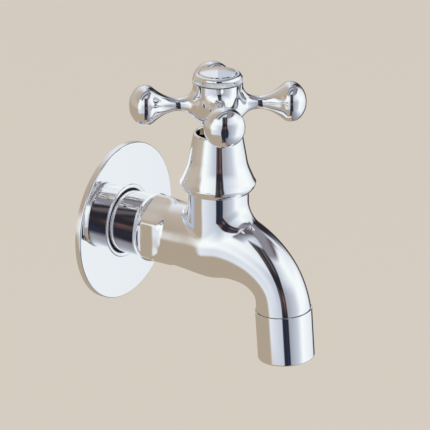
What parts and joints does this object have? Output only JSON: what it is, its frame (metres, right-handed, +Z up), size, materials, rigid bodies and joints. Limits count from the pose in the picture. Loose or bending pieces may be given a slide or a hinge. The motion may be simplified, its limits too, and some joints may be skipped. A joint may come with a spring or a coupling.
{
  "type": "wall tap",
  "caption": "Chrome wall tap with a male threaded inlet, sliding wall flange, curved spout with a straight outlet sleeve, flared bell and a quarter-turn cross handle.",
  "frame": {"origin": "On the inlet axis, in the plane of the finished wall, where the shank meets the inlet thread.", "axes": "+Z up along the handle's axis, +Y into the wall along the inlet, the spout reaches out along -Y, +X to the right seen from the front."},
  "size_m": [0.061, 0.0983, 0.1072],
  "materials": {
    "chrome_plate": "polished chrome plate on brass",
    "brass": "turned brass",
    "black_rubber": "moulded rubber",
    "alumina": "lapped alumina ceramic, opaque",
    "pale_plastic": "moulded acetal",
    "red_fibre": "pressed fibre",
    "stainless_steel": "bright stainless steel"
  },
  "bodies": {
    "valve": {"body_casting": "chrome_plate", "seat_seal": "black_rubber", "headwork_housing": "brass", "headwork_gasket": "red_fibre", "fixed_disc": "alumina", "bonnet_bell": "chrome_plate", "outlet_gasket": "black_rubber", "outlet_sleeve": "chrome_plate", "aerator_seal": "black_rubber", "aerator_housing": "pale_plastic", "aerator_screen": "stainless_steel"},
    "flange": {"wall_flange": "chrome_plate", "flange_grip_ring": "black_rubber"},
    "handle": {"moving_disc": "alumina", "spindle": "brass", "spindle_ring_lower": "black_rubber", "spindle_ring_upper": "black_rubber", "thrust_washer": "pale_plastic", "stop_washer": "brass", "spindle_clip": "stainless_steel", "cross_handle": "chrome_plate", "handle_screw": "stainless_steel", "index_ring": "chrome_plate", "index_cap": "chrome_plate"}
  },
  "joints": [
    {"name": "handle_turn", "type": "hinge", "parent": "valve", "child": "handle", "pos_m": [0, -0.0435, 0], "axis": [0, 0, 1], "range_deg": [0, 90]},
    {"name": "flange_slide", "type": "slide", "parent": "valve", "child": "flange", "axis": [0, -1, 0], "range_m": [0, 0.01]}
  ]
}
